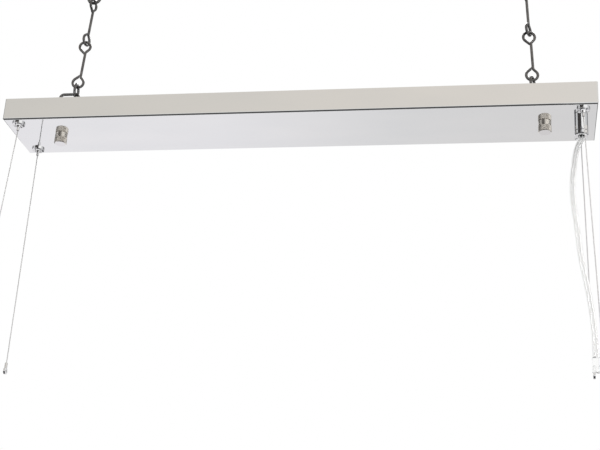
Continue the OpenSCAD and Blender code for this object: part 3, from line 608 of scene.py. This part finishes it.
for side in SIDES:
    side_threads(side)
grip_foot = pan_point((GRIP_X, 0, GRIP_FOOT))
thread("cord_grip_thread", grip_foot, GRIP_BARE, GRIP_THREAD, "canopy", "bright_chrome")
earth_foot = pan_point((EARTH_SCREW_X, 0, EARTH_SCREW_FOOT))
thread("earth_screw_thread", earth_foot, EARTH_SCREW_BARE, M4_THREAD, "canopy", "brass")


# Gripper springs, each a copy of its CAD node riding on the canopy


def release_spring(corner):
    """The gripper's spring, as a copy of its CAD node with its own mesh and material, riding on the canopy.
    """
    node = frame["nodes"][f"gripper_spring_{corner}"]
    slot = NODE_SLOTS[node.name]
    piece = bpy.data.objects.new(f"release_spring_{corner}", node.data.copy())
    bpy.context.scene.collection.objects.link(piece)
    piece.matrix_world = node.matrix_world.copy()
    piece.data.materials.clear()
    piece.data.materials.append(MATERIALS[slot])
    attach(piece, "canopy")
    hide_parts(node.name)
    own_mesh(piece)


for depth, side in CORNERS:
    release_spring(f"{depth}_{side}")


# CAD nodes

for node, slot in NODE_SLOTS.items():
    mesh = frame["nodes"][node].data
    mesh.materials.clear()
    mesh.materials.append(MATERIALS[slot])


# Floor, world, studio cards and lamps

WORLD_LIGHT = 0.55

FLOOR_Z = -1.6
FLOOR_SIZE = (30, 30)
FLOOR_TINT = (0.86, 0.86, 0.87)
FLOOR_ROUGHNESS = 0.9
FLOOR_GLOW = 0.6

# The point that the curved cards stand round, and the degrees between the points of their mesh
CARD_CENTRE = Vector((0, 0, -0.2))
CARD_STEP = 4

# Curved cards whose colour changes along X: azimuths and elevations in degrees, radius, and the
# half width, levels and colours of the change
FADED_CARDS = {
    "warm_card": (
        (-60, 32), (8, 84), 3.2, 1.6, (0, 0.4, 0.6, 1),
        ((0.738, 0.708, 0.66), (0.822, 0.778, 0.722), (0.855, 0.807, 0.75), (0.87, 0.86, 0.84)),
    ),
    "far_card": (
        (140, 220), (-38, -6), 2.4, 1.4, (0, 0.28, 0.46, 0.6),
        ((0.975, 0.96, 0.99), (0.96, 0.943, 0.97), (0.84, 0.83, 0.84), (0.812, 0.797, 0.8)),
    ),
}

# Curved cards of one colour: azimuths and elevations in degrees, radius, colour and strength
PLAIN_CARDS = {
    "left_edge_card": ((-104, -52), (8, 60), 3.4, (0.36, 0.345, 0.325), 1),
    "right_edge_card": ((24, 124), (8, 60), 3.4, (0.86, 0.83, 0.79), 1),
    "viewer_card": ((-54, 10), (-40, -16), 2.2, (0.075, 0.069, 0.067), 1),
    "soft_card": ((14, 74), (-40, -14), 2.25, (1, 0.99, 0.97), 1.45),
    "left_card": ((-140, -92), (-36, 44), 2.3, (0.2, 0.2, 0.205), 1),
    "right_card": ((116, 148), (-36, 44), 2.3, (0.27, 0.27, 0.27), 1),
}

# Level cards just above the floor: centre and size along X and Y, and colour
LOW_CARD_Z = FLOOR_Z + 0.1
LOW_CARDS = {
    "near_card": ((0, -1.0), (2.6, 1.8), (0.1, 0.1, 0.102)),
    "under_card": ((0, 0.28), (4.4, 0.76), (0.03, 0.03, 0.033)),
}

# Lamps: place, target, width and height, and power in watts
LAMPS = {
    "key": ((-2.0, -1.2, 2.4), (0, 0, -0.25), (1.2, 1.2), 45),
    "fill": ((2.4, -1.2, 2.7), (0, 0, -0.3), (1.0, 1.4), 30),
    "back": ((0.2, 2.0, 1.8), (0, 0, -0.2), (1.4, 0.8), 25),
}


def glow(name, colour, strength=1):
    """A plain emitting material."""
    material = bpy.data.materials.new(name)
    material.use_nodes = True
    nodes = material.node_tree.nodes
    nodes.clear()
    emission = nodes.new("ShaderNodeEmission")
    emission.inputs["Color"].default_value = (*colour, 1)
    emission.inputs["Strength"].default_value = strength
    out = nodes.new("ShaderNodeOutputMaterial")
    material.node_tree.links.new(emission.outputs[0], out.inputs["Surface"])
    return material


def side_fade(name, half_width, levels, colours):
    """An emission that changes along X, from -half_width to half_width."""
    material = glow(name, (1, 1, 1))
    nodes, links = material.node_tree.nodes, material.node_tree.links
    coordinates = nodes.new("ShaderNodeTexCoord")
    split = nodes.new("ShaderNodeSeparateXYZ")
    links.new(coordinates.outputs["Object"], split.inputs[0])
    place = nodes.new("ShaderNodeMapRange")
    place.inputs["From Min"].default_value = -half_width
    place.inputs["From Max"].default_value = half_width
    links.new(split.outputs["X"], place.inputs["Value"])
    colour = ramp(nodes, links, place.outputs["Result"], levels, colours)
    links.new(colour, nodes["Emission"].inputs["Color"])
    return material


def seen_rays(nodes, links):
    """1 for a camera, glossy or transmission ray, and 0 for the rays that light the object."""
    path = nodes.new("ShaderNodeLightPath")
    total = path.outputs["Is Camera Ray"]
    for name in ("Is Glossy Ray", "Is Transmission Ray"):
        add = nodes.new("ShaderNodeMath")
        add.operation = "MAXIMUM"
        links.new(total, add.inputs[0])
        links.new(path.outputs[name], add.inputs[1])
        total = add.outputs[0]
    return total


def make_world():
    """White to the camera and in reflections; a soft, lower level as a light."""
    world = bpy.data.worlds.new("studio")
    world.use_nodes = True
    nodes, links = world.node_tree.nodes, world.node_tree.links
    background = nodes["Background"]
    background.inputs["Color"].default_value = (1, 1, 1, 1)
    level = nodes.new("ShaderNodeMapRange")
    level.inputs["To Min"].default_value = WORLD_LIGHT
    level.inputs["To Max"].default_value = 1.0
    links.new(seen_rays(nodes, links), level.inputs["Value"])
    links.new(level.outputs["Result"], background.inputs["Strength"])
    bpy.context.scene.world = world


def floor_material():
    """Pale floor: partly plain diffuse, which keeps the shadow, and partly glowing where it is seen."""
    material, nodes, links, shader = node_material("floor")
    shader.inputs["Base Color"].default_value = (*FLOOR_TINT, 1)
    shader.inputs["Roughness"].default_value = FLOOR_ROUGHNESS
    emission = nodes.new("ShaderNodeEmission")
    emission.inputs["Color"].default_value = (1, 1, 1, 1)
    share = nodes.new("ShaderNodeMath")
    share.operation = "MULTIPLY"
    share.inputs[1].default_value = FLOOR_GLOW
    links.new(seen_rays(nodes, links), share.inputs[0])
    mix = nodes.new("ShaderNodeMixShader")
    links.new(share.outputs[0], mix.inputs["Fac"])
    links.new(shader.outputs[0], mix.inputs[1])
    links.new(emission.outputs[0], mix.inputs[2])
    links.new(mix.outputs[0], nodes["Material Output"].inputs["Surface"])
    return material


def stage_piece(name, points, faces, material):
    """A mesh that isn't part of the object."""
    mesh = bpy.data.meshes.new(name)
    mesh.from_pydata([tuple(p) for p in points], [], faces)
    mesh.materials.append(material)
    piece = bpy.data.objects.new(name, mesh)
    bpy.context.scene.collection.objects.link(piece)
    return piece


def level_sheet(name, centre, size, material):
    """A level rectangle."""
    w, h = size[0] / 2, size[1] / 2
    piece = stage_piece(name, [(-w, -h, 0), (w, -h, 0), (w, h, 0), (-w, h, 0)], [(0, 1, 2, 3)], material)
    piece.location = centre
    return piece


def reflected_only(piece):
    """Shows in reflections only, and gives no light."""
    piece.visible_camera = False
    piece.visible_diffuse = False
    piece.visible_shadow = False
    piece.visible_transmission = False


def curved_card(name, azimuths, elevations, radius, material):
    """A studio card curved round the object. Azimuth 0 is the viewer's side, and 90 is +X."""
    across = [math.radians(a) for a in range(azimuths[0], azimuths[1] + 1, CARD_STEP)]
    upwards = [math.radians(e) for e in range(elevations[0], elevations[1] + 1, CARD_STEP)]
    points = [
        CARD_CENTRE + radius * Vector((math.cos(e) * math.sin(a), -math.cos(e) * math.cos(a), math.sin(e)))
        for e in upwards for a in across
    ]
    n = len(across)
    faces = [
        (i * n + k, i * n + k + 1, (i + 1) * n + k + 1, (i + 1) * n + k)
        for i in range(len(upwards) - 1) for k in range(n - 1)
    ]
    reflected_only(stage_piece(name, points, faces, material))


def area_light(name, centre, target, size, power):
    """A rectangular lamp that faces its target."""
    data = bpy.data.lights.new(name, "AREA")
    data.shape = "RECTANGLE"
    data.size, data.size_y = size
    data.energy = power
    lamp = bpy.data.objects.new(name, data)
    lamp.location = centre
    lamp.rotation_euler = (Vector(target) - Vector(centre)).to_track_quat("-Z", "Y").to_euler()
    bpy.context.scene.collection.objects.link(lamp)


make_world()
level_sheet("floor", (0, 0, FLOOR_Z), FLOOR_SIZE, floor_material())
for name, (azimuths, elevations, radius, *fade) in FADED_CARDS.items():
    curved_card(name, azimuths, elevations, radius, side_fade(name, *fade))
for name, (azimuths, elevations, radius, colour, strength) in PLAIN_CARDS.items():
    curved_card(name, azimuths, elevations, radius, glow(name, colour, strength))
for name, (centre, size, colour) in LOW_CARDS.items():
    reflected_only(level_sheet(name, (*centre, LOW_CARD_Z), size, glow(name, colour)))
for name, lamp in LAMPS.items():
    area_light(name, *lamp)

bpy.context.scene.view_settings.view_transform = "Standard"
